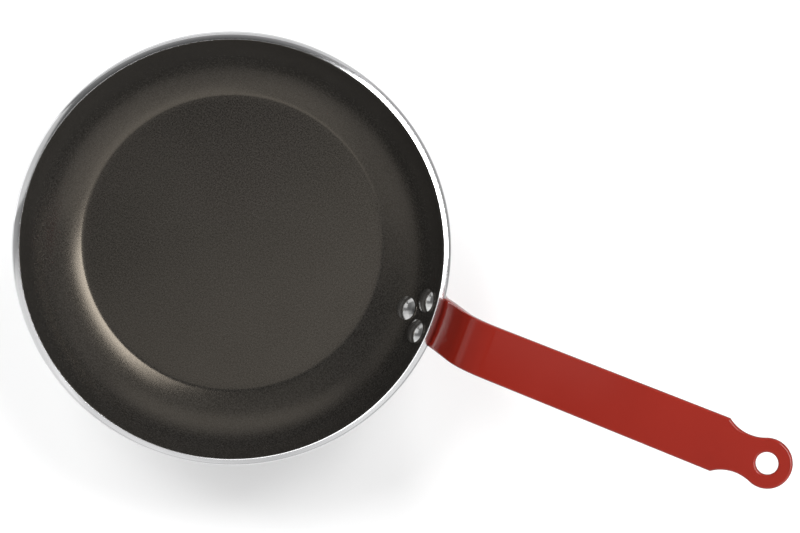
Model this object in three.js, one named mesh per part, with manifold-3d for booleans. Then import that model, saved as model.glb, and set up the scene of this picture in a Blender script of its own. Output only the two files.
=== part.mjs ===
// A nonstick frying pan: a thick pressed-aluminium pan with a dark lining, and a painted
// strip-steel handle that three solid rivets hold to the pan's wall.
// Millimetres, +Z up. The origin is the middle of the base's underside, and the handle points along +X.

import * as THREE from "three";
import { mergeVertices } from "three/addons/utils/BufferGeometryUtils.js";
import Module from "manifold-3d";

const { sin, cos, acos, asin, atan2, hypot, PI } = Math;
const degrees = (angle) => (angle * PI) / 180;

// Pan
const RIM_RADIUS = 141; // the rim's outside edge before it is rounded
const RIM_HEIGHT = 42;
const RIM_ROUND = 2.2; // rounding of the rim's outside edge
const RIM_CHAMFER = 0.5; // at the rim's inside edge
const WALL_THICKNESS = 5.5;
const BASE_THICKNESS = 4.7;
const BASE_EDGE_RADIUS = 97.5; // the crease where the flat base meets the wall, inside
const RIM_SLOPE = degrees(68.4); // the wall's slope at the rim

// Nonstick lining
const LINING_THICKNESS = 0.3;
const LINING_GAP = 0.05; // between the lining and the metal
const LINING_BELOW_RIM = 0.6;

// Handle, a strip of steel
const STRIP_THICKNESS = 5;
const STRIP_EDGE_ROUND = 1.3;
const FLANGE_GAP = 0.3; // between the strip and the pan's wall
const TONGUE_RADIUS = 10; // the strip's lower end, round the lower rivet
const ROOT_WIDTH = 32.8; // at the upper rivets
const SHOULDER_WIDTH = 35.2; // where the grip ends
const RISER_SLOPE = degrees(73); // the straight piece that stands up past the rim
const RISER_LENGTH = 12.3;
const UNROLL_LENGTH = 32; // from the rim up to where the strip is flat across
const BEND_RADIUS = 45; // on the upper face
const GRIP_SLOPE = degrees(16.2);
const GRIP_LENGTH = 178.4; // from the bend to the middle of the eye
const SHOULDER_TO_EYE = 30.8; // from the shoulders to the middle of the eye
const NECK_RADIUS = 25; // of the hollows between the shoulders and the eye
const EYE_RADIUS = 15.8;
const EYE_HOLE_RADIUS = 7;

// Rivets
const UPPER_RIVETS_BELOW_RIM = 14.4; // along the wall's outside
const RIVET_ROW_GAP = 17.3; // along the wall, from the upper rivets to the lower one
const UPPER_RIVETS_APART = 21.4;
const SHANK_RADIUS = 3.4;
const SHANK_CLEARANCE = 0.3; // between a shank and its holes
const SEAT_GAP = 0.15; // between a rivet's heads and what they hold
const HEAD_RADIUS = 7.7; // the domed head inside the pan
const HEAD_HEIGHT = 2.8;
const HEAD_EDGE = 0.7; // upright edge below the dome
const TAIL_RADIUS = 6.2; // the hammered head behind the strip
const TAIL_HEIGHT = 2.6;
const TAIL_EDGE = 1;

// Facets
const PAN_SIDES = 96;
const WALL_STEPS = 8;
const ROUND_STEPS = 3;
const RIVET_SIDES = 24;
const DOME_STEPS = 4;
const HOLE_SIDES = 32;
const FLANGE_STEPS = 4;
const RISER_STEPS = 4;
const BEND_STEPS = 9;
const OUTLINE_ARC_STEPS = 8;
const EYE_STEPS = 14;
const STRIP_COLUMNS = 4;

const wasm = await Module();
wasm.setup();

const aluminium = new THREE.MeshStandardMaterial({ color: 0xd4d5d8, roughness: 0.32, metalness: 1 });
const rivetMetal = new THREE.MeshStandardMaterial({ color: 0xdadada, roughness: 0.15, metalness: 1 });
const nonstick = new THREE.MeshStandardMaterial({ color: 0x38352f, roughness: 0.42, metalness: 0 });
const redPaint = new THREE.MeshStandardMaterial({ color: 0x9d2a22, roughness: 0.28, metalness: 0 });

const range = (steps) => Array.from({ length: steps + 1 }, (_, i) => i / steps);
const mix = (a, b, share) => a + (b - a) * share;

// Booleans

function solidFrom(geometry) {
  const bare = geometry.clone();
  bare.deleteAttribute("normal");
  bare.deleteAttribute("uv");
  const merged = mergeVertices(bare, 1e-4);
  const triangles = [];
  const corners = merged.index.array;
  for (let i = 0; i < corners.length; i += 3) {
    const [a, b, c] = corners.slice(i, i + 3);
    if (a !== b && b !== c && c !== a) triangles.push(a, b, c);
  }
  return new wasm.Manifold(
    new wasm.Mesh({
      numProp: 3,
      vertProperties: merged.getAttribute("position").array,
      triVerts: new Uint32Array(triangles),
    }),
  );
}

function geometryFrom(solid) {
  const { vertProperties, triVerts } = solid.getMesh();
  const geometry = new THREE.BufferGeometry();
  geometry.setAttribute("position", new THREE.BufferAttribute(vertProperties, 3));
  geometry.setIndex(new THREE.BufferAttribute(triVerts, 1));
  geometry.computeVertexNormals();
  return geometry;
}

const cut = (geometry, cutters) =>
  geometryFrom(cutters.reduce((solid, cutter) => solid.subtract(solidFrom(cutter)), solidFrom(geometry)));

// Turns a (radius, height) profile about the Z axis.
function turned(profile, sides) {
  const points = profile.map(([radius, height]) => new THREE.Vector2(radius, height));
  return new THREE.LatheGeometry(points, sides).rotateX(PI / 2);
}

// A straight hole's cutter along the Z axis, centred on the origin.
const holeCutter = (radius, length) => new THREE.CylinderGeometry(radius, radius, length, HOLE_SIDES).rotateX(PI / 2);

// Wall section: an arc from the crease round the base to the rim, where it has the rim's slope.
// Depth is measured outwards from the metal's inside face, and slope is the arc's angle from the level.

const reachOut = RIM_RADIUS - BASE_EDGE_RADIUS;
const reachUp = RIM_HEIGHT - BASE_THICKNESS;
const depthOfBase = reachOut * sin(RIM_SLOPE) - reachUp * cos(RIM_SLOPE);
const wallRadius =
  (reachOut ** 2 + reachUp ** 2 - 2 * WALL_THICKNESS * depthOfBase + WALL_THICKNESS ** 2) /
  (2 * (depthOfBase - WALL_THICKNESS));
const wallCentre = {
  radius: RIM_RADIUS - (wallRadius + WALL_THICKNESS) * sin(RIM_SLOPE),
  height: RIM_HEIGHT + (wallRadius + WALL_THICKNESS) * cos(RIM_SLOPE),
};

const wallPoint = (depth, slope) => [
  wallCentre.radius + (wallRadius + depth) * sin(slope),
  wallCentre.height - (wallRadius + depth) * cos(slope),
];

const slopeAt = (depth, height) => acos((wallCentre.height - height) / (wallRadius + depth));

function wallArc(depth, fromHeight, toHeight) {
  const from = slopeAt(depth, fromHeight);
  const to = slopeAt(depth, toHeight);
  return range(WALL_STEPS).map((share) => wallPoint(depth, mix(from, to, share)));
}

// Rounds the acute corner between the wall's outside and the level top of the rim.
function rimRounding() {
  const tangentLength = RIM_ROUND / Math.tan(RIM_SLOPE / 2);
  const centre = [RIM_RADIUS - tangentLength, RIM_HEIGHT - RIM_ROUND];
  return range(ROUND_STEPS).map((share) => {
    const angle = mix(RIM_SLOPE - PI / 2, PI / 2, share);
    return [centre[0] + RIM_ROUND * cos(angle), centre[1] + RIM_ROUND * sin(angle)];
  });
}

function panProfile() {
  const rounding = rimRounding();
  const outside = wallArc(WALL_THICKNESS, 0, rounding[0][1]).slice(0, -1);
  const inside = wallArc(0, BASE_THICKNESS, RIM_HEIGHT - RIM_CHAMFER).reverse();
  const landEdge = [inside[0][0] + RIM_CHAMFER, RIM_HEIGHT];
  return [[0, 0], ...outside, ...rounding, landEdge, ...inside, [0, BASE_THICKNESS]];
}

function liningProfile() {
  const top = RIM_HEIGHT - LINING_BELOW_RIM;
  const back = -LINING_GAP;
  const face = back - LINING_THICKNESS;
  const outside = wallArc(back, BASE_THICKNESS - back, top);
  const inside = wallArc(face, BASE_THICKNESS - face, top).reverse();
  return [[0, BASE_THICKNESS - back], ...outside, ...inside, [0, BASE_THICKNESS - face]];
}

// Strip path: the middle line of the strip's upper face in the XZ plane. Length runs from the tongue's tip.
// The strip follows the wall's outside and on past the rim, stands straight up, bends over and runs out as the grip.

const flangeRadius = wallRadius + WALL_THICKNESS + FLANGE_GAP;
const upperRivetSlope = RIM_SLOPE - UPPER_RIVETS_BELOW_RIM / flangeRadius;
const lowerRivetSlope = upperRivetSlope - RIVET_ROW_GAP / flangeRadius;
const tipSlope = lowerRivetSlope - TONGUE_RADIUS / flangeRadius;

const upperRivetAt = (upperRivetSlope - tipSlope) * flangeRadius;
const rimAt = (RIM_SLOPE - tipSlope) * flangeRadius;
const flangeEnd = (RISER_SLOPE - tipSlope) * flangeRadius;
const riserEnd = flangeEnd + RISER_LENGTH;
const bendEnd = riserEnd + (RISER_SLOPE - GRIP_SLOPE) * BEND_RADIUS;
const eyeAt = bendEnd + GRIP_LENGTH;

const along = (start, slope, length) => ({
  x: start.x + length * cos(slope),
  z: start.z + length * sin(slope),
  slope,
});

const riserStart = (() => {
  const [x, z] = wallPoint(WALL_THICKNESS + FLANGE_GAP, RISER_SLOPE);
  return { x, z, slope: RISER_SLOPE };
})();
const bendStart = along(riserStart, RISER_SLOPE, RISER_LENGTH);

function onBend(slope) {
  return {
    x: bendStart.x + BEND_RADIUS * (sin(RISER_SLOPE) - sin(slope)),
    z: bendStart.z + BEND_RADIUS * (cos(slope) - cos(RISER_SLOPE)),
    slope,
  };
}

function stripPath(length) {
  if (length < flangeEnd) {
    const slope = tipSlope + length / flangeRadius;
    const [x, z] = wallPoint(WALL_THICKNESS + FLANGE_GAP, slope);
    return { x, z, slope };
  }
  if (length < riserEnd) return along(riserStart, RISER_SLOPE, length - flangeEnd);
  if (length < bendEnd) return onBend(RISER_SLOPE - (length - riserEnd) / BEND_RADIUS);
  return along(onBend(GRIP_SLOPE), GRIP_SLOPE, length - bendEnd);
}

// How far the strip is still rolled to the pan's round wall: fully up to the rim, and then less and less.
function rolled(length) {
  const share = Math.min(1, Math.max(0, (length - rimAt) / UNROLL_LENGTH));
  return 1 - share * share * (3 - 2 * share);
}

// A point of the strip: length along it, offset across it, and depth below its upper face.
function stripPoint({ length, across, depth }) {
  const { x, z, slope } = stripPath(length);
  const out = x + depth * sin(slope);
  const height = z - depth * cos(slope);
  const roll = rolled(length) / x;
  if (roll === 0) return new THREE.Vector3(out, across, height);
  const pivot = x - 1 / roll;
  return new THREE.Vector3(
    pivot + (out - pivot) * cos(across * roll),
    (out - pivot) * sin(across * roll),
    height,
  );
}

// Outline of the flat strip, one side: points {at, half} from the tongue's tip to the eye's end.

function tongueOutline() {
  const tip = TONGUE_RADIUS;
  const rootHalf = ROOT_WIDTH / 2;
  const toRoot = { at: upperRivetAt - tip, half: rootHalf };
  const tangentAngle = atan2(toRoot.half, toRoot.at) + acos(TONGUE_RADIUS / hypot(toRoot.at, toRoot.half));
  const round = range(OUTLINE_ARC_STEPS).map((share) => {
    const angle = mix(PI, tangentAngle, share);
    return { at: tip + TONGUE_RADIUS * cos(angle), half: TONGUE_RADIUS * sin(angle) };
  });
  round[0].half = 0;
  const last = round[round.length - 1];
  const flank = range(FLANGE_STEPS)
    .slice(1)
    .map((share) => ({ at: mix(last.at, upperRivetAt, share), half: mix(last.half, rootHalf, share) }));
  return [...round, ...flank];
}

// The hollow beside the neck is an arc from the shoulder's corner that meets the eye's round without a corner.
function eyeOutline() {
  const shoulder = { at: -SHOULDER_TO_EYE, half: SHOULDER_WIDTH / 2 };
  const toShoulder = hypot(shoulder.at, shoulder.half);
  const toHollow = EYE_RADIUS + NECK_RADIUS;
  const shoulderAngle = atan2(shoulder.half, shoulder.at);
  const between = acos((toHollow ** 2 + toShoulder ** 2 - NECK_RADIUS ** 2) / (2 * toHollow * toShoulder));
  const meetAngle = shoulderAngle - between;
  const hollowAt = toHollow * cos(meetAngle);
  const hollowHalf = toHollow * sin(meetAngle);
  const cornerAngle = atan2(shoulder.half - hollowHalf, shoulder.at - hollowAt);
  const hollow = range(OUTLINE_ARC_STEPS).map((share) => {
    const angle = mix(cornerAngle, meetAngle - PI, share);
    return { at: eyeAt + hollowAt + NECK_RADIUS * cos(angle), half: hollowHalf + NECK_RADIUS * sin(angle) };
  });
  const eye = range(EYE_STEPS)
    .slice(1)
    .map((share) => {
      const angle = mix(meetAngle, 0, share);
      return { at: eyeAt + EYE_RADIUS * cos(angle), half: EYE_RADIUS * sin(angle) };
    });
  return [...hollow, ...eye];
}

function stripOutline() {
  const tongue = tongueOutline();
  const eye = eyeOutline();
  const root = tongue[tongue.length - 1];
  const shoulder = eye[0];
  const stretches = [
    [root.at, flangeEnd, FLANGE_STEPS],
    [flangeEnd, riserEnd, RISER_STEPS],
    [riserEnd, bendEnd, BEND_STEPS],
  ];
  const sides = stretches.flatMap(([from, to, steps]) =>
    range(steps)
      .slice(1)
      .map((share) => {
        const at = mix(from, to, share);
        return { at, half: mix(root.half, shoulder.half, (at - root.at) / (shoulder.at - root.at)) };
      }),
  );
  return [...tongue, ...sides, ...eye];
}

// Outward normal of the outline at each point, lengthened at corners so that an inset keeps its distance.
function outlineNormals(outline) {
  const edges = outline.slice(1).map((to, i) => {
    const from = outline[i];
    const length = hypot(to.at - from.at, to.half - from.half);
    return { at: -(to.half - from.half) / length, half: (to.at - from.at) / length };
  });
  return outline.map((_, i) => {
    if (i === 0) return { at: -1, half: 0 };
    if (i === outline.length - 1) return { at: 1, half: 0 };
    const a = edges[i - 1];
    const b = edges[i];
    const scale = 1 + a.at * b.at + a.half * b.half;
    return { at: (a.at + b.at) / scale, half: (a.half + b.half) / scale };
  });
}

// Section of the strip at one outline point, as a closed loop with rounded edges.
function stripLoop(point, normal) {
  const edgeRound = Math.min(STRIP_EDGE_ROUND, 0.45 * STRIP_THICKNESS);
  const edge = range(ROUND_STEPS).map((share) => ({
    inset: edgeRound * (1 - sin((share * PI) / 2)),
    depth: edgeRound * (1 - cos((share * PI) / 2)),
  }));
  const side = [
    ...edge,
    ...edge.map(({ inset, depth }) => ({ inset, depth: STRIP_THICKNESS - depth })).reverse(),
  ];
  const place = ({ inset, depth }, share) => ({
    length: point.at - inset * normal.at,
    across: (point.half - inset * normal.half) * share,
    depth,
  });
  const columns = range(STRIP_COLUMNS).slice(1, -1);
  const top = side[0];
  const bottom = side[side.length - 1];
  return [
    ...side.map((level) => place(level, 1)),
    ...columns.map((share) => place(bottom, 1 - 2 * share)),
    ...side.map((level) => place(level, -1)).reverse(),
    ...columns.map((share) => place(top, 2 * share - 1)),
  ];
}

function stripGeometry() {
  const outline = stripOutline();
  const normals = outlineNormals(outline);
  const loops = outline.map((point, i) => stripLoop(point, normals[i]).map(stripPoint));
  const count = loops[0].length;
  const corners = [];
  for (let i = 0; i + 1 < loops.length; i++) {
    for (let j = 0; j < count; j++) {
      const next = (j + 1) % count;
      const [a, b, c, d] = [i * count + j, i * count + next, (i + 1) * count + next, (i + 1) * count + j];
      corners.push(a, c, b, a, d, c);
    }
  }
  const geometry = new THREE.BufferGeometry().setFromPoints(loops.flat());
  geometry.setIndex(corners);
  return geometry;
}

// Rivets: each one's place is a turn about the pan's axis and a slope of the wall.

const upperRivetTurn = asin(UPPER_RIVETS_APART / 2 / wallPoint(0, upperRivetSlope)[0]);
const rivetPlaces = [
  { name: "rivet_upper_left", turn: upperRivetTurn, slope: upperRivetSlope },
  { name: "rivet_upper_right", turn: -upperRivetTurn, slope: upperRivetSlope },
  { name: "rivet_lower", turn: 0, slope: lowerRivetSlope },
];

const liningDepth = LINING_GAP + LINING_THICKNESS;
const rivetGrip = liningDepth + WALL_THICKNESS + FLANGE_GAP + STRIP_THICKNESS + SEAT_GAP;
// The head's flat underside stands on the hollow wall by its edge.
const headSeat = HEAD_RADIUS ** 2 / (2 * wallRadius) + SEAT_GAP;

// A rivet along Z: the lining's face is at height 0, and the domed head is above it.
function rivetProfile() {
  const dome = (radius, edge, height) =>
    range(DOME_STEPS).map((share) => [
      radius * cos((share * PI) / 2),
      edge + (height - edge) * sin((share * PI) / 2),
    ]);
  const tail = dome(TAIL_RADIUS, TAIL_EDGE, TAIL_HEIGHT).map(([radius, height]) => [radius, -rivetGrip - height]);
  const head = dome(HEAD_RADIUS, HEAD_EDGE, HEAD_HEIGHT).map(([radius, height]) => [radius, headSeat + height]);
  tail[DOME_STEPS][0] = 0;
  head[DOME_STEPS][0] = 0;
  return [
    ...tail.reverse(),
    [TAIL_RADIUS, -rivetGrip],
    [SHANK_RADIUS, -rivetGrip],
    [SHANK_RADIUS, headSeat],
    [HEAD_RADIUS, headSeat],
    ...head,
  ];
}

function rivetSeat({ turn, slope }) {
  const [radius, height] = wallPoint(-liningDepth, slope);
  const seat = new THREE.Group();
  seat.rotation.z = turn;
  const axis = new THREE.Group();
  axis.position.set(radius, 0, height);
  axis.rotation.y = -slope;
  seat.add(axis);
  seat.updateMatrixWorld(true);
  return { seat, axis };
}

const rivetHoles = rivetPlaces.map((place) =>
  holeCutter(SHANK_RADIUS + SHANK_CLEARANCE, 4 * rivetGrip).applyMatrix4(rivetSeat(place).axis.matrixWorld),
);

function eyeHole() {
  const { x, z } = stripPath(eyeAt);
  const cutter = holeCutter(EYE_HOLE_RADIUS, 4 * STRIP_THICKNESS);
  return cutter.rotateY(-GRIP_SLOPE).translate(x, 0, z);
}

// Assembly

const pan = new THREE.Group();

function addPiece(parent, name, geometry, material) {
  const mesh = new THREE.Mesh(geometry, material);
  mesh.name = name;
  parent.add(mesh);
}

addPiece(pan, "pan_body", cut(turned(panProfile(), PAN_SIDES), rivetHoles), aluminium);
addPiece(pan, "nonstick_lining", cut(turned(liningProfile(), PAN_SIDES), rivetHoles), nonstick);
addPiece(pan, "handle", cut(stripGeometry(), [...rivetHoles, eyeHole()]), redPaint);
for (const place of rivetPlaces) {
  const { seat, axis } = rivetSeat(place);
  addPiece(axis, place.name, turned(rivetProfile(), RIVET_SIDES), rivetMetal);
  pan.add(seat);
}

export default pan;
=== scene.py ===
"""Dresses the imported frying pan: smooth metal, lining, handle and rivets, in a plain studio.

Metres, +Z up. The origin is the middle of the base's underside, and the handle points along +X.
"""

import logging
import math
from collections.abc import Callable
from dataclasses import dataclass, field
from enum import Enum
from typing import ClassVar

import bmesh
import bpy
from mathutils import Matrix, Vector


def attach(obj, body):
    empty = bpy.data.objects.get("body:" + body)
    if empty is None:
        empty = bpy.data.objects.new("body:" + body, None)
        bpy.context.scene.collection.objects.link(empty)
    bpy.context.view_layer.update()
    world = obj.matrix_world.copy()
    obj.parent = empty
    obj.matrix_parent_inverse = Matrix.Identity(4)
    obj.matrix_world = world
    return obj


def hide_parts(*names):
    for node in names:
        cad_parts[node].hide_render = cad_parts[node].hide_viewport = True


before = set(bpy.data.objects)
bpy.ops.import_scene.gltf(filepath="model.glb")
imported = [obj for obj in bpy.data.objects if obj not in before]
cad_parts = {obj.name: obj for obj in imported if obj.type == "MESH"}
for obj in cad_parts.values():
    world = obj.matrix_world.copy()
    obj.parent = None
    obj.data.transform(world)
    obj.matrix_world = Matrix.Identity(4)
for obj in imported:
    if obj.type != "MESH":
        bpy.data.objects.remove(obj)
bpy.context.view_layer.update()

log = logging.getLogger("frying_pan")

MM = 0.001
FULL_TURN = 2 * math.pi
BODY = "root"
WHITE = (1, 1, 1, 1)
SMOOTH_ANGLE = math.radians(32)
CORNER_ANGLE = math.radians(50)
FINE_FACETS = 2
ROUND_FACETS = 4

Profile = list[tuple[float, float]]
Colour = tuple[float, float, float, float]
Socket = bpy.types.NodeSocket
Outputs = bpy.types.bpy_prop_collection


class Slot(Enum):
    """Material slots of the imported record."""

    ALUMINIUM = "aluminium"
    NONSTICK = "nonstick"
    RED_PAINT = "red_paint"
    RIVET_METAL = "rivet_metal"


LINING = (Slot.NONSTICK,)
PAINT = (Slot.RED_PAINT,)
BARE = (Slot.ALUMINIUM, Slot.RIVET_METAL)
COATED = (*LINING, *PAINT)
UNLINED = (*BARE, *PAINT)
Dressed = tuple[bpy.types.Object, Slot]


class RivetPlace(Enum):
    """The rivets, by the CAD nodes that they stand for."""

    UPPER_LEFT = "rivet_upper_left"
    UPPER_RIGHT = "rivet_upper_right"
    LOWER = "rivet_lower"


SIDES = {RivetPlace.UPPER_LEFT: 1, RivetPlace.UPPER_RIGHT: -1, RivetPlace.LOWER: 0}


def shares(steps: int) -> list[float]:
    """Returns steps + 1 even shares from 0 to 1."""
    return [i / steps for i in range(steps + 1)]


def mix(low: float, high: float, share: float) -> float:
    """Returns the value at a share of the way from low to high."""
    return low + (high - low) * share


def round_points(middle: tuple[float, float], radius: float, angles: list[float]) -> Profile:
    """Returns the points of a circle at these angles."""
    return [(middle[0] + radius * math.cos(a), middle[1] + radius * math.sin(a)) for a in angles]


# Modelling


def take_up(obj: bpy.types.Object) -> None:
    """Makes an object the active one and the only selected one.

    Args:
        obj: the object.
    """
    bpy.ops.object.select_all(action="DESELECT")
    obj.select_set(True)
    bpy.context.view_layer.objects.active = obj


class Workpiece:
    """One mesh on the bench, shaped by edit-mode operators and applied modifiers."""

    merge_distance = 0.002 * MM
    ring_tolerance = 0.02 * MM
    cut_tolerance = 0.001 * MM
    flat_weight = 50

    def __init__(self, name: str, points: list[Vector]) -> None:
        """Traces a line of edges on the bench and stays in edit mode.

        Args:
            name: the piece's name.
            points: the line's points, in order.
        """
        bpy.ops.object.select_all(action="DESELECT")
        bpy.ops.mesh.primitive_plane_add(size=MM, location=points[0])
        self.obj: bpy.types.Object = bpy.context.active_object
        self.obj.name = name
        self.obj.data.name = name
        bpy.ops.object.transform_apply(location=True, rotation=True, scale=True)
        bpy.ops.object.mode_set(mode="EDIT")
        bpy.ops.mesh.select_all(action="SELECT")
        bpy.ops.mesh.merge(type="CENTER")
        for last, point in zip(points, points[1:]):
            bpy.ops.mesh.extrude_vertices_move(TRANSFORM_OT_translate={"value": point - last})

    @classmethod
    def turned(cls, name: str, profile: Profile, sides: int) -> "Workpiece":
        """Turns a section once about the Z axis and closes the seam and the poles.

        Args:
            name: the piece's name.
            profile: (radius, height) pairs, from pole to pole.
            sides: facets round the axis.

        Returns:
            The solid, in edit mode.
        """
        piece = cls(name, [Vector((radius, 0, height)) for radius, height in profile])
        bpy.ops.mesh.select_all(action="SELECT")
        bpy.ops.mesh.spin(steps=sides, angle=FULL_TURN, center=(0, 0, 0), axis=(0, 0, 1))
        piece.close()
        return piece

    def close(self) -> None:
        """Merges doubled points and turns the faces outwards."""
        bpy.ops.mesh.select_all(action="SELECT")
        bpy.ops.mesh.remove_doubles(threshold=self.merge_distance)
        bpy.ops.mesh.normals_make_consistent(inside=False)

    def pick(self, wanted: Callable[[Vector], bool]) -> None:
        """Selects points, with the edges and faces between them.

        Args:
            wanted: tells whether the point at a place is selected.
        """
        bpy.ops.mesh.select_mode(type="VERT")
        mesh = bmesh.from_edit_mesh(self.obj.data)
        for vertex in mesh.verts:
            vertex.select_set(wanted(vertex.co))
        mesh.select_flush(True)
        mesh.select_flush(False)
        bmesh.update_edit_mesh(self.obj.data)

    def round_ring(self, radius: float, height: float, offset: float, segments: int) -> None:
        """Rounds a ring of edges about the Z axis.

        Args:
            radius: the ring's radius.
            height: the ring's height.
            offset: how far the rounding starts from the edge, along each face.
            segments: facets of the rounding.
        """
        near = self.ring_tolerance
        self.pick(lambda p: abs(math.hypot(p.x, p.y) - radius) < near and abs(p.z - height) < near)
        bpy.ops.mesh.bevel(offset=offset, segments=segments, profile=0.5, affect="EDGES")

    def thicken(self, depth: float) -> None:
        """Fills the traced outline and extrudes it downwards.

        Args:
            depth: how far.
        """
        bpy.ops.mesh.select_all(action="SELECT")
        bpy.ops.mesh.edge_face_add()
        bpy.ops.mesh.extrude_region_move(TRANSFORM_OT_translate={"value": (0, 0, -depth)})
        self.close()

    def slice(self, at: Vector, normal: Vector, wanted: Callable[[Vector], bool]) -> None:
        """Cuts new edges through the picked faces where a plane crosses them."""
        self.pick(wanted)
        bpy.ops.mesh.bisect(plane_co=at, plane_no=normal, threshold=self.cut_tolerance)

    def on_bench(self) -> None:
        """Enters edit mode with this piece alone."""
        take_up(self.obj)
        bpy.ops.object.mode_set(mode="EDIT")

    def off_bench(self) -> None:
        """Leaves edit mode with this piece active."""
        bpy.ops.object.mode_set(mode="OBJECT")

    def apply(self, kind: str, **settings: object) -> None:
        """Adds a modifier with these settings and applies it.

        Args:
            kind: the modifier's type.
            settings: its properties.
        """
        bpy.context.view_layer.objects.active = self.obj
        modifier = self.obj.modifiers.new(kind.lower(), kind)
        for key, value in settings.items():
            setattr(modifier, key, value)
        bpy.ops.object.modifier_apply(modifier=modifier.name)

    def cut(self, cutter: bpy.types.Object) -> None:
        """Takes the cutter's shape out of the piece."""
        self.apply("BOOLEAN", operation="DIFFERENCE", solver="EXACT", object=cutter)

    def reshape(self, place: Callable[[Vector], Vector]) -> None:
        """Moves every point.

        Args:
            place: gives a point's new place from its old one.
        """
        for vertex in self.obj.data.vertices:
            vertex.co = place(vertex.co)
        self.obj.data.update()

    def smooth(self, angle: float) -> None:
        """Shades the piece smooth, except across edges sharper than angle."""
        take_up(self.obj)
        bpy.ops.object.shade_smooth_by_angle(angle=angle)

    def keep_flats(self) -> None:
        """Shades the wide faces flat, so that only the rounded edges bend the reflections."""
        self.apply("WEIGHTED_NORMAL", mode="FACE_AREA", weight=self.flat_weight, keep_sharp=True)


def seat(obj: bpy.types.Object, node: str, slot: Slot, material: bpy.types.Material) -> Dressed:
    """Hands a finished piece to the frame.

    Args:
        obj: the piece.
        node: the CAD node that it stands for.
        slot: the record's slot that its finish belongs to.
        material: its finish.

    Returns:
        The piece with its slot.
    """
    obj.data.materials.clear()
    obj.data.materials.append(material)
    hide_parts(node)
    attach(obj, BODY)
    log.info("%s: %d faces, stands for %s", obj.name, len(obj.data.polygons), node)
    return obj, slot


# Finishes


class Nodes:
    """A node tree under construction."""

    def __init__(self, tree: bpy.types.NodeTree) -> None:
        """Starts from an empty tree."""
        self.tree = tree
        tree.nodes.clear()

    def plug(self, node: bpy.types.Node, inputs: dict[str | int, object]) -> None:
        """Feeds a node.

        Args:
            node: the node.
            inputs: sockets to link or values to set, by input name or number.
        """
        for key, value in inputs.items():
            if isinstance(value, Socket):
                self.tree.links.new(value, node.inputs[key])
            else:
                node.inputs[key].default_value = value

    def add(
        self, kind: str, inputs: dict[str | int, object] | None = None, **settings: object
    ) -> bpy.types.Node:
        """Adds a node.

        Args:
            kind: the node's type, without the ShaderNode prefix unless it is a plain node.
            inputs: sockets to link or values to set, by input name or number.
            settings: the node's own properties.

        Returns:
            The new node.
        """
        node = self.tree.nodes.new(kind if kind.startswith("Node") else "ShaderNode" + kind)
        for key, value in settings.items():
            setattr(node, key, value)
        self.plug(node, inputs or {})
        return node

    def math(self, operation: str, *values: object) -> Socket:
        """Returns the result of a Math node on these sockets or numbers."""
        return self.add("Math", dict(enumerate(values)), operation=operation).outputs[0]

    def mean(self, one: Socket, other: Socket) -> Socket:
        """Returns the mean of two sockets."""
        return self.math("MULTIPLY", self.math("ADD", one, other), 0.5)

    def vector(self, operation: str, *values: object) -> Outputs:
        """Returns the outputs of a Vector Math node on these sockets or vectors."""
        return self.add("VectorMath", dict(enumerate(values)), operation=operation).outputs

    def blend(self, share: object, low: object, high: object) -> Socket:
        """Returns the colour at a share of the way from low to high."""
        return self.add("Mix", {0: share, 6: low, 7: high}, data_type="RGBA").outputs[2]

    def spread(self, value: Socket, *ends: float) -> Socket:
        """Returns value mapped from ends[0], ends[1] to ends[2], ends[3], and held there."""
        return self.add("MapRange", {0: value, **dict(enumerate(ends, 1))}).outputs[0]


class GroupNodes(Nodes):
    """A shader node group under construction."""

    def __init__(self, name: str, inputs: dict[str, str], outputs: dict[str, str]) -> None:
        """Makes the group and its sockets.

        Args:
            name: the group's name.
            inputs: input names to socket types.
            outputs: output names to socket types.
        """
        super().__init__(bpy.data.node_groups.new(name, "ShaderNodeTree"))
        for way, labels in (("INPUT", inputs), ("OUTPUT", outputs)):
            for label, kind in labels.items():
                self.tree.interface.new_socket(label, in_out=way, socket_type="NodeSocket" + kind)
        self.entry = self.add("NodeGroupInput").outputs

    def give(self, **results: Socket) -> bpy.types.NodeTree:
        """Links the group's outputs and returns it."""
        self.add("NodeGroupOutput", dict(results))
        return self.tree


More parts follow.
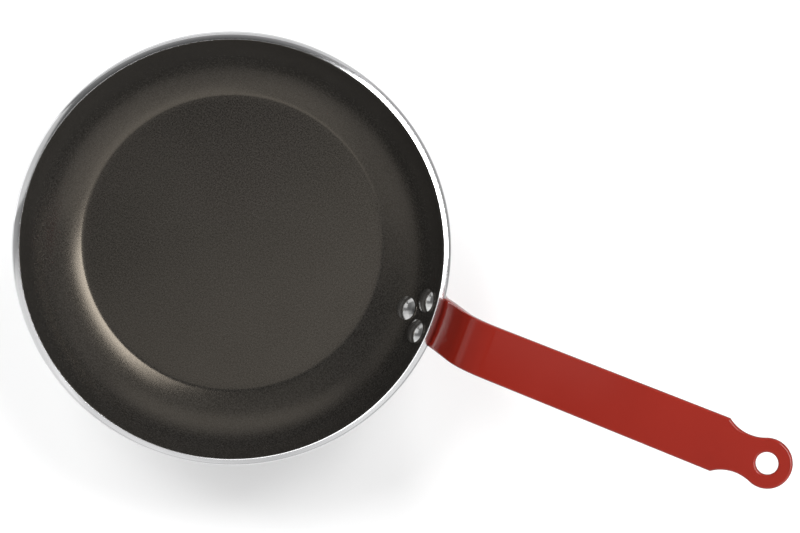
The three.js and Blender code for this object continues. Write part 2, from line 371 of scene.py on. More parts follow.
class Effects:
    """Surface effects that the finishes share."""

    speck_rate = 0.8
    speck_edge = (0.08, 0.22)
    cloud_edge = (0.32, 0.68)

    def __init__(self) -> None:
        """Builds the groups."""
        self.rings = self.turned_rings()
        self.grain = self.fine_grain()
        self.clouds = self.soft_clouds()

    def turned_rings(self) -> bpy.types.NodeTree:
        """Makes fine lines round the Z axis, as a lathe tool leaves them.

        Returns:
            The node group.
        """
        nodes = GroupNodes(
            "turned_rings",
            {"Vector": "Vector", "Pitch": "Float", "Breaks": "Float"},
            {"Height": "Float"},
        )
        place = nodes.add("SeparateXYZ", {0: nodes.entry["Vector"]}).outputs
        flat = nodes.add("CombineXYZ", {0: place[0], 1: place[1]}).outputs[0]
        radius = nodes.vector("LENGTH", flat)["Value"]
        heading = nodes.vector("NORMALIZE", flat)[0]
        turn = nodes.add("SeparateXYZ", {0: heading}).outputs
        line = nodes.math("DIVIDE", nodes.math("ADD", radius, place[2]), nodes.entry["Pitch"])
        lathe = nodes.add(
            "CombineXYZ",
            {
                0: line,
                1: nodes.math("MULTIPLY", turn[0], nodes.entry["Breaks"]),
                2: nodes.math("MULTIPLY", turn[1], nodes.entry["Breaks"]),
            },
        ).outputs[0]
        noise = nodes.add(
            "TexNoise", {"Vector": lathe, "Scale": 1.0, "Detail": 3.0, "Roughness": 0.6}
        )
        return nodes.give(Height=noise.outputs[0])

    def fine_grain(self) -> bpy.types.NodeTree:
        """Makes even grain and specks of a given size.

        Returns:
            The node group.
        """
        nodes = GroupNodes(
            "fine_grain",
            {"Vector": "Vector", "Size": "Float"},
            {"Height": "Float", "Specks": "Float"},
        )
        place = nodes.entry["Vector"]
        scale = nodes.math("DIVIDE", 1.0, nodes.entry["Size"])
        noise = nodes.add(
            "TexNoise", {"Vector": place, "Scale": scale, "Detail": 2.0, "Roughness": 0.55}
        )
        rate = nodes.math("MULTIPLY", scale, self.speck_rate)
        cells = nodes.add("TexVoronoi", {"Vector": place, "Scale": rate})
        specks = nodes.spread(cells.outputs["Distance"], *self.speck_edge, 1.0, 0.0)
        return nodes.give(Height=noise.outputs[0], Specks=specks)

    def soft_clouds(self) -> bpy.types.NodeTree:
        """Makes broad soft patches, as handling and wiping leave them.

        Returns:
            The node group.
        """
        nodes = GroupNodes("soft_clouds", {"Vector": "Vector", "Size": "Float"}, {"Mask": "Float"})
        scale = nodes.math("DIVIDE", 1.0, nodes.entry["Size"])
        noise = nodes.add(
            "TexNoise",
            {"Vector": nodes.entry["Vector"], "Scale": scale, "Detail": 4.0, "Distortion": 0.4},
        )
        return nodes.give(Mask=nodes.spread(noise.outputs[0], *self.cloud_edge, 0.0, 1.0))


class FinishNodes(Nodes):
    """A material under construction: one Principled BSDF and what feeds it."""

    def __init__(self, name: str) -> None:
        """Makes the material with its shader, its output and its Object coordinates.

        Args:
            name: the material's name.
        """
        self.material = bpy.data.materials.new(name)
        self.material.use_nodes = True
        super().__init__(self.material.node_tree)
        self.shader = self.add("BsdfPrincipled")
        self.add("OutputMaterial", {"Surface": self.shader.outputs[0]})
        self.place = self.add("TexCoord").outputs["Object"]

    def group(self, tree: bpy.types.NodeTree, **inputs: object) -> Outputs:
        """Returns the outputs of a shared effect placed on Object coordinates."""
        return self.add("Group", {"Vector": self.place, **inputs}, node_tree=tree).outputs

    def set(self, **values: object) -> None:
        """Feeds the shader's sockets; an underscore in a key stands for a space."""
        self.plug(self.shader, {key.replace("_", " "): v for key, v in values.items()})

    def bump(self, height: Socket, depth: float) -> None:
        """Feeds the shader's normal from a height and the metres of its full range."""
        inputs = {"Height": height, "Strength": 1.0, "Distance": depth}
        self.set(Normal=self.add("Bump", inputs).outputs[0])


@dataclass(frozen=True)
class TurnedAluminium:
    """Bare aluminium with fine lathe lines and a satin sheen."""

    light: Colour = (0.87, 0.87, 0.88, 1)
    dull: Colour = (0.76, 0.76, 0.77, 1)
    line_pitch: float = 0.35 * MM
    line_depth: float = 0.0025 * MM
    line_breaks: float = 2.5
    smear_size: float = 28 * MM
    wear: tuple[float, float] = (0.2, 0.8)
    polish: tuple[float, float] = (0.14, 0.20)
    stretch: float = 0.5
    stretch_turn: float = 0.25

    def material(self, effects: Effects) -> bpy.types.Material:
        """Makes the finish.

        Args:
            effects: the shared effects.

        Returns:
            The material.
        """
        nodes = FinishNodes("turned_aluminium")
        lines = nodes.group(effects.rings, Pitch=self.line_pitch, Breaks=self.line_breaks)
        smears = nodes.group(effects.clouds, Size=self.smear_size)["Mask"]
        wear = nodes.mean(lines["Height"], smears)
        nodes.set(
            Base_Color=nodes.blend(wear, self.light, self.dull),
            Metallic=1.0,
            Roughness=nodes.spread(wear, *self.wear, *self.polish),
            Anisotropic=self.stretch,
            Anisotropic_Rotation=self.stretch_turn,
            Tangent=nodes.vector("CROSS_PRODUCT", (0, 0, 1), nodes.place)[0],
        )
        nodes.bump(lines["Height"], self.line_depth)
        return nodes.material


@dataclass(frozen=True)
class SprayedLining:
    """Dark nonstick coat with a fine sprayed grain."""

    dark: Colour = (0.0094, 0.0091, 0.0086, 1)
    pale: Colour = (0.0342, 0.0325, 0.0304, 1)
    fleck: Colour = (0.075, 0.068, 0.058, 1)
    sheen: Colour = (1.0, 0.87, 0.71, 1)
    grain_size: float = 1.0 * MM
    grain_depth: float = 0.016 * MM
    grain_edge: tuple[float, float] = (0.35, 0.65)
    grain_share: float = 0.75
    cloud_size: float = 45 * MM
    cloud_share: float = 0.12
    fleck_share: float = 0.35
    polish_edge: tuple[float, float] = (0.3, 0.7)
    polish: tuple[float, float] = (0.20, 0.27)
    ior: float = 1.64

    def material(self, effects: Effects) -> bpy.types.Material:
        """Makes the finish.

        Args:
            effects: the shared effects.

        Returns:
            The material.
        """
        nodes = FinishNodes("sprayed_lining")
        grain = nodes.group(effects.grain, Size=self.grain_size)
        clouds = nodes.group(effects.clouds, Size=self.cloud_size)["Mask"]
        tone = nodes.spread(grain["Height"], *self.grain_edge, 0.0, 1.0)
        tone = nodes.math(
            "ADD",
            nodes.math("MULTIPLY", tone, self.grain_share),
            nodes.math("MULTIPLY", clouds, self.cloud_share),
        )
        coat = nodes.blend(tone, self.dark, self.pale)
        flecks = nodes.math("MULTIPLY", grain["Specks"], self.fleck_share)
        nodes.set(
            Base_Color=nodes.blend(flecks, coat, self.fleck),
            Roughness=nodes.spread(grain["Height"], *self.polish_edge, *self.polish),
            IOR=self.ior,
            Specular_Tint=self.sheen,
        )
        nodes.bump(grain["Height"], self.grain_depth)
        return nodes.material


@dataclass(frozen=True)
class GlossPaint:
    """Smooth gloss paint on steel."""

    deep: Colour = (0.264, 0.0155, 0.0078, 1)
    bright: Colour = (0.285, 0.0176, 0.0092, 1)
    peel_size: float = 3.2 * MM
    peel_depth: float = 0.004 * MM
    cloud_size: float = 60 * MM
    polish: tuple[float, float] = (0.12, 0.17)

    def material(self, effects: Effects) -> bpy.types.Material:
        """Makes the finish.

        Args:
            effects: the shared effects.

        Returns:
            The material.
        """
        nodes = FinishNodes("gloss_red_paint")
        peel = nodes.group(effects.grain, Size=self.peel_size)["Height"]
        clouds = nodes.group(effects.clouds, Size=self.cloud_size)["Mask"]
        nodes.set(
            Base_Color=nodes.blend(clouds, self.deep, self.bright),
            Roughness=nodes.spread(clouds, 0.0, 1.0, *self.polish),
        )
        nodes.bump(peel, self.peel_depth)
        return nodes.material


@dataclass(frozen=True)
class PolishedRivet:
    """Polished aluminium with a few fine marks."""

    light: Colour = (0.86, 0.86, 0.85, 1)
    dull: Colour = (0.70, 0.70, 0.70, 1)
    mark_size: float = 3.0 * MM
    mark_depth: float = 0.012 * MM
    patch_size: float = 12.0 * MM
    polish: tuple[float, float] = (0.08, 0.20)

    def material(self, effects: Effects) -> bpy.types.Material:
        """Makes the finish.

        Args:
            effects: the shared effects.

        Returns:
            The material.
        """
        nodes = FinishNodes("polished_rivet")
        marks = nodes.group(effects.grain, Size=self.mark_size)["Height"]
        patches = nodes.group(effects.clouds, Size=self.patch_size)["Mask"]
        nodes.set(
            Base_Color=nodes.blend(patches, self.light, self.dull),
            Metallic=1.0,
            Roughness=nodes.spread(patches, 0.0, 1.0, *self.polish),
        )
        nodes.bump(marks, self.mark_depth)
        return nodes.material


# Pieces


@dataclass(frozen=True)
class WallSection:
    """The pan's section: a flat base, then an arc up to the rim.

    A depth is measured outwards from the metal's inside.
    """

    rim_radius: float = 141 * MM
    rim_height: float = 42 * MM
    rim_slope: float = math.radians(68.4)
    base_edge_radius: float = 97.5 * MM
    base_thickness: float = 4.7 * MM
    thickness: float = 5.5 * MM

    @property
    def arc_radius(self) -> float:
        """Radius of the wall's inside face."""
        out = self.rim_radius - self.base_edge_radius
        up = self.rim_height - self.base_thickness
        fall = out * math.sin(self.rim_slope) - up * math.cos(self.rim_slope)
        reach = out**2 + up**2 - 2 * self.thickness * fall + self.thickness**2
        return reach / (2 * (fall - self.thickness))

    @property
    def centre(self) -> tuple[float, float]:
        """The (radius, height) of the arc's centre."""
        outer = self.arc_radius + self.thickness
        return (
            self.rim_radius - outer * math.sin(self.rim_slope),
            self.rim_height + outer * math.cos(self.rim_slope),
        )

    def point(self, depth: float, slope: float) -> tuple[float, float]:
        """Returns the (radius, height) of the wall at a depth and a slope."""
        (radius, height), reach = self.centre, self.arc_radius + depth
        return radius + reach * math.sin(slope), height - reach * math.cos(slope)

    def slope_at(self, depth: float, height: float) -> float:
        """Returns the wall's slope at a depth and a height."""
        return math.acos((self.centre[1] - height) / (self.arc_radius + depth))

    def arc(self, depth: float, low: float, high: float, steps: int) -> Profile:
        """Returns the wall's points at a depth, from height low to height high."""
        start, end = self.slope_at(depth, low), self.slope_at(depth, high)
        return [self.point(depth, mix(start, end, share)) for share in shares(steps)]


class Drilled:
    """A sub-assembly that the rivets pass through.

    Attributes:
        node: the CAD node that it stands for.
        slot: the record's slot of its finish.
        finish: makes its finish.
        flats: whether its wide faces are shaded flat.
    """

    node: ClassVar[str]
    slot: ClassVar[Slot]
    finish: ClassVar[Callable[[Effects], bpy.types.Material]]
    flats: ClassVar[bool] = False

    def build(self) -> Workpiece:
        """Returns the piece without its holes, in each sub-assembly's own way."""
        raise NotImplementedError

    def dress(self, drill: bpy.types.Object, effects: Effects) -> Dressed:
        """Builds, drills, smooths and finishes the piece.

        Args:
            drill: the cutter for the rivet holes.
            effects: the shared effects.

        Returns:
            The finished piece with its slot.
        """
        piece = self.build()
        piece.cut(drill)
        piece.smooth(SMOOTH_ANGLE)
        if self.flats:
            piece.keep_flats()
        return seat(piece.obj, self.node, self.slot, self.finish(effects))


@dataclass
class PanBody(Drilled):
    """The aluminium pressing: its turned rim is chamfered inside and falls away outwards."""

    node = "pan_body"
    slot = Slot.ALUMINIUM
    finish = TurnedAluminium().material
    wall: WallSection
    outer_radius: float = 139.84 * MM
    chamfer_width: float = 0.08 * MM
    chamfer_drop: float = 0.06 * MM
    land_width: float = 2.9 * MM
    land_tilts: tuple[float, float] = (math.radians(13), math.radians(23))
    land_steps: int = 6
    rim_stretch: float = 1.1
    rim_steps: int = 18
    rim_inner_round: float = 0.03 * MM
    flare_power: int = 3
    crease_round: float = 1.3 * MM
    base_edge_round: float = 2.4 * MM
    support: float = 5 * MM
    wall_steps: int = 14
    sides: int = 256

    def rim(self, inner: float) -> Profile:
        """Draws the rim's top: a land that falls outwards, then a rounding to the wall's slope.

        Args:
            inner: radius of the rim's inner edge, above the chamfer.

        Returns:
            Points from the wall to the inner edge.
        """
        step = self.land_width / self.land_steps
        points = [(inner, self.wall.rim_height)]
        for share in shares(self.land_steps)[1:]:
            tilt = mix(*self.land_tilts, share - 0.5 / self.land_steps)
            points.append((points[-1][0] + step, points[-1][1] - step * math.tan(tilt)))
        start = math.atan(self.rim_stretch / math.tan(self.land_tilts[1]))
        end = -math.atan(self.rim_stretch / math.tan(self.wall.rim_slope))
        radius, height = points[-1]
        reach = (self.outer_radius - radius) / (1 - math.cos(start))
        fall = reach * self.rim_stretch
        centre = (radius - reach * math.cos(start), height - fall * math.sin(start))
        for share in shares(self.rim_steps)[1:]:
            turn = mix(start, end, share)
            points.append(
                (centre[0] + reach * math.cos(turn), centre[1] + fall * math.sin(turn))
            )
        return points[::-1]

    def build(self) -> Workpiece:
        """Turns the pan.

        Returns:
            The solid with rounded edges.
        """
        wall, steps = self.wall, self.wall_steps
        lip_height = wall.rim_height - self.chamfer_drop
        inside = wall.arc(0, wall.base_thickness, lip_height, steps)[::-1]
        rim = self.rim(inside[0][0] + self.chamfer_width)
        plain = wall.arc(wall.thickness, 0, rim[0][1], steps)
        lip = rim[0][0] - plain[-1][0]
        flare = [lip * share**self.flare_power for share in shares(steps)]
        outside = [(radius + out, height) for (radius, height), out in zip(plain, flare)][:-1]
        profile = [
            (0, 0),
            (outside[0][0] / 2, 0),
            (outside[0][0] - self.support, 0),
            *outside,
            *rim,
            *inside,
            (inside[-1][0] - self.support, wall.base_thickness),
            (inside[-1][0] / 2, wall.base_thickness),
            (0, wall.base_thickness),
        ]
        piece = Workpiece.turned("pan_body_turned", profile, self.sides)
        piece.round_ring(*rim[-1], self.rim_inner_round, FINE_FACETS)
        piece.round_ring(*outside[0], self.base_edge_round, ROUND_FACETS)
        piece.round_ring(*inside[-1], self.crease_round, ROUND_FACETS)
        piece.off_bench()
        return piece


@dataclass
class Lining(Drilled):
    """The nonstick coat inside the pan."""

    node = "nonstick_lining"
    slot = Slot.NONSTICK
    finish = SprayedLining().material
    wall: WallSection
    thickness: float = 0.3 * MM
    gap: float = 0.05 * MM
    below_rim: float = 0.12 * MM
    crease_round: float = 1.3 * MM
    edge_round: float = 0.09 * MM
    support: float = 5 * MM
    wall_steps: int = 14
    sides: int = 256

    @property
    def depth(self) -> float:
        """How far the lining's face stands off the metal."""
        return self.thickness + self.gap

    def build(self) -> Workpiece:
        """Turns the coat.

        Returns:
            A thin shell with rounded edges.
        """
        wall, steps = self.wall, self.wall_steps
        top = wall.rim_height - self.below_rim
        back = wall.arc(-self.gap, wall.base_thickness + self.gap, top, steps)
        face = wall.arc(-self.depth, wall.base_thickness + self.depth, top, steps)[::-1]
        profile = [
            (0, back[0][1]),
            (back[0][0] - self.support, back[0][1]),
            *back,
            *face,
            (face[-1][0] - self.support, face[-1][1]),
            (face[-1][0] / 2, face[-1][1]),
            (0, face[-1][1]),
        ]
        piece = Workpiece.turned("lining_sprayed", profile, self.sides)
        piece.round_ring(*face[0], self.edge_round, FINE_FACETS)
        piece.round_ring(*face[-1], self.crease_round, ROUND_FACETS)
        piece.round_ring(*back[0], self.crease_round, ROUND_FACETS)
        piece.off_bench()
        return piece


@dataclass
class RivetSet:
    """Three solid rivets through the lining, the wall and the handle's flange."""

    wall: WallSection
    lining: Lining
    strip_thickness: float = 5 * MM
    flange_gap: float = 0.3 * MM
    upper_below_rim: float = 14.4 * MM
    row_gap: float = 17.3 * MM
    upper_apart: float = 21.4 * MM
    shank_radius: float = 3.4 * MM
    hole_clearance: float = 0.3 * MM
    head_radius: float = 7.7 * MM
    head_height: float = 2.8 * MM
    head_edge: float = 0.7 * MM
    tail_radius: float = 6.2 * MM
    tail_height: float = 2.6 * MM
    tail_edge: float = 1.0 * MM
    seat_gap: float = 0.15 * MM
    dome_steps: int = 10
    sides: int = 64
    drill_length: float = 40 * MM
    drill_sides: int = 48

    @property
    def flange_radius(self) -> float:
        """Radius of the flange's upper face in section."""
        return self.wall.arc_radius + self.wall.thickness + self.flange_gap

    def slope(self, place: RivetPlace) -> float:
        """Returns the wall's slope at a rivet."""
        below = self.upper_below_rim + (self.row_gap if place is RivetPlace.LOWER else 0.0)
        return self.wall.rim_slope - below / self.flange_radius

    def turn(self, place: RivetPlace) -> float:
        """Returns a rivet's turn about the pan's axis."""
        radius = self.wall.point(0, self.slope(place))[0]
        return SIDES[place] * math.asin(self.upper_apart / 2 / radius)

    def seat_matrix(self, place: RivetPlace) -> Matrix:
        """Places a rivet: the lining's face at the origin, the head along +Z.

        Args:
            place: which rivet.

        Returns:
            The rivet's matrix in the pan's frame.
        """
        slope = self.slope(place)
        radius, height = self.wall.point(-self.lining.depth, slope)
        return (
            Matrix.Rotation(self.turn(place), 4, "Z")
            @ Matrix.Translation((radius, 0, height))
            @ Matrix.Rotation(-slope, 4, "Y")
        )

    def dome(self, radius: float, edge: float, height: float) -> Profile:
        """Draws half of a round cap.

        Args:
            radius: the cap's radius.
            edge: height of its edge.
            height: height of its middle.

        Returns:
            Points from its edge to its middle.
        """
        rise = height - edge
        reach = (radius**2 + rise**2) / (2 * rise)
        angles = [math.asin(radius / reach) * (1 - share) for share in shares(self.dome_steps)]
        points = [(reach * math.sin(a), height - reach * (1 - math.cos(a))) for a in angles]
        return [*points[:-1], (0.0, height)]

    def profile(self) -> Profile:
        """Draws a rivet's section.

        Returns:
            Points from the tail's middle to the head's middle.
        """
        strip = self.flange_gap + self.strip_thickness
        grip = self.lining.depth + self.wall.thickness + strip + self.seat_gap
        head_seat = self.head_radius**2 / (2 * self.wall.arc_radius) + self.seat_gap
        tail = self.dome(self.tail_radius, self.tail_edge, self.tail_height)
        head = self.dome(self.head_radius, self.head_edge, self.head_height)
        return [
            *((radius, -grip - height) for radius, height in tail[::-1]),
            (self.tail_radius, -grip),
            (self.shank_radius, -grip),
            (self.shank_radius, head_seat),
            (self.head_radius, head_seat),
            *((radius, head_seat + height) for radius, height in head),
        ]

    def build(self) -> Workpiece:
        """Turns one rivet.

        Returns:
            The rivet, along the Z axis.
        """
        piece = Workpiece.turned("rivet_pattern", self.profile(), self.sides)
        piece.off_bench()
        piece.smooth(CORNER_ANGLE)
        return piece

    def dress(self, effects: Effects) -> list[Dressed]:
        """Copies one rivet to each place, finishes the copies and takes the pattern away.

        Args:
            effects: the shared effects.

        Returns:
            The finished rivets with their slot.
        """
        polished = PolishedRivet().material(effects)
        pattern = self.build().obj
        made = []
        for place in RivetPlace:
            copy = pattern.copy()
            copy.data = pattern.data.copy()
            copy.name = copy.data.name = place.value + "_polished"
            bpy.context.scene.collection.objects.link(copy)
            take_up(copy)
            copy.matrix_world = self.seat_matrix(place)
            bpy.ops.object.transform_apply(location=True, rotation=True, scale=True)
            made.append(seat(copy, place.value, Slot.RIVET_METAL, polished))
        bpy.data.objects.remove(pattern)
        return made

    def drill(self) -> bpy.types.Object:
        """Makes a cutter for all rivet holes.

        Returns:
            The cutter.
        """
        bpy.ops.object.select_all(action="DESELECT")
        parts = []
        for place in RivetPlace:
            bpy.ops.mesh.primitive_cylinder_add(
                vertices=self.drill_sides,
                radius=self.shank_radius + self.hole_clearance,
                depth=self.drill_length,
            )
            drill = bpy.context.active_object
            drill.matrix_world = self.seat_matrix(place)
            parts.append(drill)
        for drill in parts:
            drill.select_set(True)
        bpy.ops.object.join()
        return bpy.context.active_object


@dataclass
class StripHandle(Drilled):
    """The painted steel strip: flange, riser, bend, grip, neck and eye."""

    node = "handle"
    slot = Slot.RED_PAINT
    finish = GlossPaint().material
    flats = True
    wall: WallSection
    rivets: RivetSet
    edge_round: float = 1.39 * MM
    edge_facets: int = 5
    tongue_radius: float = 10 * MM
    root_width: float = 32.8 * MM
    shoulder_width: float = 35.2 * MM
    riser_slope: float = math.radians(73)
    riser_length: float = 19.33 * MM
    unroll_length: float = 32 * MM
    bend_radius: float = 32 * MM
    grip_slope: float = math.radians(16.2)
    grip_length: float = 185.43 * MM
    shoulder_to_eye: float = 30.8 * MM
    neck_radius: float = 25 * MM
    eye_radius: float = 15.74 * MM
    eye_hole_radius: float = 7 * MM
    eye_hole_sides: int = 96
    corner_steps: int = 20
    eye_steps: int = 36
    flange_steps: int = 18
    riser_steps: int = 9
    bend_steps: int = 16
    rows: int = 8
    least_roll: float = 1e-6
    slack: float = 0.01 * MM

    @property
    def thickness(self) -> float:
        """The strip's thickness."""
        return self.rivets.strip_thickness

    @property
    def depth(self) -> float:
        """Depth of the flange's upper face in the wall's section."""
        return self.wall.thickness + self.rivets.flange_gap

    @property
    def tip_slope(self) -> float:
        """The wall's slope at the tongue's tip."""
        lower = self.rivets.slope(RivetPlace.LOWER)
        return lower - self.tongue_radius / self.rivets.flange_radius

    @property
    def root_at(self) -> float:
        """Length from the tip to the upper rivets."""
        return self.tongue_radius + self.rivets.row_gap

    @property
    def rim_at(self) -> float:
        """Length from the tip to where the strip passes the rim."""
        return (self.wall.rim_slope - self.tip_slope) * self.rivets.flange_radius

    @property
    def flange_end(self) -> float:
        """Length from the tip to the end of the strip's arc along the wall."""
        return (self.riser_slope - self.tip_slope) * self.rivets.flange_radius

    @property
    def riser_end(self) -> float:
        """Length from the tip to the start of the bend."""
        return self.flange_end + self.riser_length

    @property
    def bend_end(self) -> float:
        """Length from the tip to the end of the bend."""
        return self.riser_end + (self.riser_slope - self.grip_slope) * self.bend_radius

    @property
    def eye_at(self) -> float:
        """Length from the tip to the middle of the eye."""
        return self.bend_end + self.grip_length

    def path(self, length: float) -> tuple[float, float, float]:
        """Follows the middle line of the strip's upper face.

        Args:
            length: length from the tip.

        Returns:
            The line's x, z and slope there.
        """
        if length < self.flange_end:
            slope = self.tip_slope + length / self.rivets.flange_radius
            return (*self.wall.point(self.depth, slope), slope)
        x, z = self.wall.point(self.depth, self.riser_slope)
        rise = min(length - self.flange_end, self.riser_length)
        x += rise * math.cos(self.riser_slope)
        z += rise * math.sin(self.riser_slope)
        if length < self.riser_end:
            return x, z, self.riser_slope
        turned = (length - self.riser_end) / self.bend_radius
        slope = max(self.grip_slope, self.riser_slope - turned)
        x += self.bend_radius * (math.sin(self.riser_slope) - math.sin(slope))
        z += self.bend_radius * (math.cos(slope) - math.cos(self.riser_slope))
        run = max(0.0, length - self.bend_end)
        return x + run * math.cos(slope), z + run * math.sin(slope), slope

    def bent(self, flat: Vector) -> Vector:
        """Returns where a point of the flat strip lies on the bent one.

        Args:
            flat: length from the tip, offset across, and height over the upper face.

        Returns:
            The point on the strip, rolled to the pan's wall up to the rim.
        """
        x, z, slope = self.path(flat.x)
        out = x - flat.z * math.sin(slope)
        height = z + flat.z * math.cos(slope)
        share = min(1.0, max(0.0, (flat.x - self.rim_at) / self.unroll_length))
        roll = (1 - share * share * (3 - 2 * share)) / x
        if roll < self.least_roll:
            return Vector((out, flat.y, height))
        pivot = x - 1 / roll
        turn = flat.y * roll
        reach = out - pivot
        return Vector((pivot + reach * math.cos(turn), reach * math.sin(turn), height))

    def tongue_side(self) -> Profile:
        """Draws one side of the tongue's outline.

        Returns:
            Points from the tip to the root.
        """
        reach, half, radius = self.rivets.row_gap, self.root_width / 2, self.tongue_radius
        end = math.atan2(half, reach) + math.acos(radius / math.hypot(reach, half))
        angles = [mix(math.pi, end, share) for share in shares(self.corner_steps)[1:]]
        return [(0.0, 0.0), *round_points((radius, 0.0), radius, angles), (self.root_at, half)]

    def eye_side(self) -> Profile:
        """Draws one side of the neck and the eye.

        Returns:
            Points from the shoulder to the far end.
        """
        shoulder = (-self.shoulder_to_eye, self.shoulder_width / 2)
        reach, centre = math.hypot(*shoulder), self.eye_radius + self.neck_radius
        cosine = (centre**2 + reach**2 - self.neck_radius**2) / (2 * centre * reach)
        meet = math.atan2(shoulder[1], shoulder[0]) - math.acos(cosine)
        hollow = (centre * math.cos(meet), centre * math.sin(meet))
        corner = math.atan2(shoulder[1] - hollow[1], shoulder[0] - hollow[0])
        inwards = [mix(corner, meet - math.pi, share) for share in shares(self.corner_steps)]
        around = [mix(meet, 0, share) for share in shares(self.eye_steps)[1:-1]]
        side = [
            *round_points(hollow, self.neck_radius, inwards),
            *round_points((0.0, 0.0), self.eye_radius, around),
            (self.eye_radius, 0.0),
        ]
        return [(self.eye_at + at, half) for at, half in side]

    def stations(self) -> list[float]:
        """Finds where the strip needs edges across it to bend.

        Returns:
            Lengths from the tip.
        """
        runs = (
            (0.0, self.flange_end, self.flange_steps),
            (self.flange_end, self.riser_end, self.riser_steps),
            (self.riser_end, self.bend_end, self.bend_steps),
        )
        return [mix(low, high, share) for low, high, n in runs for share in shares(n)[1:]]

    def build(self) -> Workpiece:
        """Cuts the strip out flat, eases its edges and bends it.

        Returns:
            The strip.
        """
        side = [*self.tongue_side(), *self.eye_side()]
        outline = [*side, *((at, -half) for at, half in side[-2:0:-1])]
        piece = Workpiece("handle_strip", [Vector((at, half, 0)) for at, half in outline])
        piece.thicken(self.thickness)
        piece.off_bench()
        self.punch_eye(piece)
        piece.apply(
            "BEVEL",
            width=self.edge_round,
            segments=self.edge_facets,
            limit_method="ANGLE",
            angle_limit=CORNER_ANGLE,
            use_clamp_overlap=True,
        )
        self.ease_for_bend(piece)
        piece.reshape(self.bent)
        return piece

    def punch_eye(self, piece: Workpiece) -> None:
        """Cuts the hanging hole.

        Args:
            piece: the flat strip.
        """
        bpy.ops.object.select_all(action="DESELECT")
        bpy.ops.mesh.primitive_cylinder_add(
            vertices=self.eye_hole_sides,
            radius=self.eye_hole_radius,
            depth=4 * self.thickness,
            location=(self.eye_at, 0, 0),
        )
        punch = bpy.context.active_object
        piece.cut(punch)
        bpy.data.objects.remove(punch)

    def ease_for_bend(self, piece: Workpiece) -> None:
        """Cuts edges across and along the part of the strip that bends.

        Args:
            piece: the flat strip.
        """
        piece.on_bench()
        for station in self.stations():
            piece.slice(Vector((station, 0, 0)), Vector((1, 0, 0)), lambda p: True)
        limit = self.bend_end + self.slack
        for row in range(1 - self.rows // 2, self.rows // 2):
            at = Vector((0, row * self.root_width / self.rows, 0))
            piece.slice(at, Vector((0, 1, 0)), lambda p: p.x < limit)
        piece.off_bench()


# Studio


@dataclass(frozen=True)
class View:
    """The photograph's camera."""

    place: tuple[float, float, float] = (-0.0653, 0.2551, 1.8202)
    right: Vector = Vector((0.9386, 0.3421, 0.0454)).normalized()
    up: Vector = Vector((-0.3321, 0.9311, -0.1511)).normalized()
    focal_pixels: float = 2820.6
    image_width: int = 800
    sensor: float = 36.0

    @property
    def back(self) -> Vector:
        """The way from the pan to the camera."""
        return self.right.cross(self.up)

    def point(self, across: float, up: float, towards: float) -> Vector:
        """Returns a place along the picture's right, its up, and towards the camera."""
        return self.right * across + self.up * up + self.back * towards

    def heading(self, across: float, up: float, towards: float) -> Vector:
        """Returns a unit direction along the picture's right, its up, and towards the camera."""
        return self.point(across, up, towards).normalized()

    def set_up(self) -> None:
        """Makes the scene's camera."""
        data = bpy.data.cameras.new("photo_camera")
        data.sensor_width = self.sensor
        data.lens = self.focal_pixels / self.image_width * self.sensor
        data.dof.use_dof = False
        camera = bpy.data.objects.new("photo_camera", data)
        turn = Matrix((self.right, self.up, self.back)).transposed().to_4x4()
        camera.matrix_world = Matrix.Translation(self.place) @ turn
        bpy.context.scene.collection.objects.link(camera)
        bpy.context.scene.camera = camera


@dataclass(frozen=True)
class Softbox:
    """An oblong lamp, or a card that shines back, out of the camera's sight.

    Attributes:
        name: its name.
        place: its middle, from the pan's origin, along the picture's right, its up, and
            towards the camera.
        size: its width and its height in the picture.
        radiance: its brightness, where 1 is the picture's white.
        lean: degrees by which its top leans to the picture's left.
        back: the way its back points, if not straight away from the pan's origin.
        mirrored: whether it shows in reflections.
        spreads: whether it lights dull surfaces.
        lights: the finishes that it lights.
    """

    name: str
    place: tuple[float, float, float]
    size: tuple[float, float]
    radiance: float
    lean: float = 0.0
    back: tuple[float, float, float] | None = None
    mirrored: bool = True
    spreads: bool = True
    lights: tuple[Slot, ...] = tuple(Slot)

    def hang(self, view: View, pieces: list[Dressed]) -> None:
        """Hangs the lamp.

        Args:
            view: the camera.
            pieces: the pan's pieces with their slots.
        """
        data = bpy.data.lights.new(self.name, "AREA")
        data.shape = "RECTANGLE"
        data.size, data.size_y = self.size
        data.energy = self.radiance * math.pi * self.size[0] * self.size[1]
        lamp = bpy.data.objects.new(self.name, data)
        heading = view.heading(*(self.back or self.place))
        lean = math.radians(self.lean)
        across = (view.up * math.cos(lean) - view.right * math.sin(lean)).cross(heading)
        across.normalize()
        turn = Matrix((across, heading.cross(across), heading)).transposed().to_4x4()
        lamp.matrix_world = Matrix.Translation(view.point(*self.place)) @ turn
        lamp.visible_camera = False
        lamp.visible_glossy = self.mirrored
        lamp.visible_diffuse = self.spreads
        lit = bpy.data.collections.new(f"lit_by_{self.name}")
        for piece, slot in pieces:
            if slot in self.lights:
                lit.objects.link(piece)
        lamp.light_linking.receiver_collection = lit
        bpy.context.scene.collection.objects.link(lamp)
        log.info("lamp %s", self.name)


class Axis(Enum):
    """What a fade is measured along."""

    RIGHT = "to the picture's right"
    UP = "to the picture's top"
    BACK = "towards the camera"
    TABLE = "up from the table's edge"
    ASIDE = "to either side of the table's middle"


@dataclass(frozen=True)
class Fade:
    """A change of brightness along an axis: first up to its start, last from its end on."""

    axis: Axis
    start: float
    end: float
    first: float = 0.0
    last: float = 1.0

    def on(self, nodes: Nodes, ways: dict[Axis, Socket]) -> Socket:
        """Returns the brightness, given the distance along each axis."""
        return nodes.spread(ways[self.axis], self.start, self.end, self.first, self.last)


